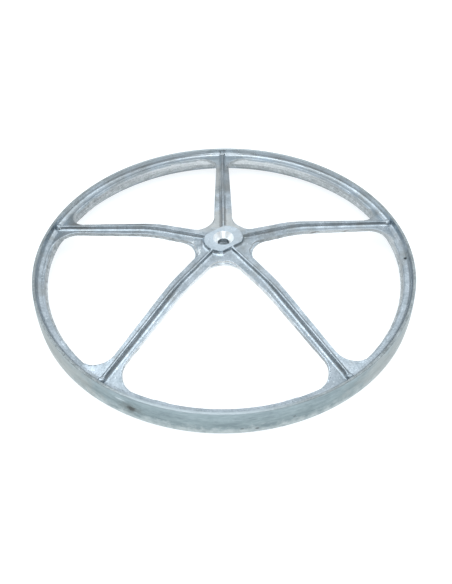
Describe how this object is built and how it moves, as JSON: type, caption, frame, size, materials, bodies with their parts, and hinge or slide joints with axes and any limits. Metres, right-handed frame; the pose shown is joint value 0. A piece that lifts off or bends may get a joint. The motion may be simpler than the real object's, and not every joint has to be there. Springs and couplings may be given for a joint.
{
  "type": "drum drive pulley",
  "caption": "Cast aluminium belt pulley with a crowned rim, ribbed spokes that bend down from a raised hub, and a countersunk bolt hole.",
  "frame": {"origin": "on the shaft axis, in the plane of the rim's lower edge, on which the pulley rests", "axes": "+Z along the shaft axis, towards the ribbed outer side with the bolt hole; +Y along spoke_1"},
  "size_m": [0.29, 0.29, 0.0411],
  "materials": {
    "casting": "as-cast satin, with a turned belt face and bright trimmed edges"
  },
  "bodies": {
    "root": {"belt_rim": "casting", "hub": "casting", "spoke_1": "casting", "spoke_2": "casting", "spoke_3": "casting", "spoke_4": "casting", "spoke_5": "casting"}
  },
  "joints": []
}
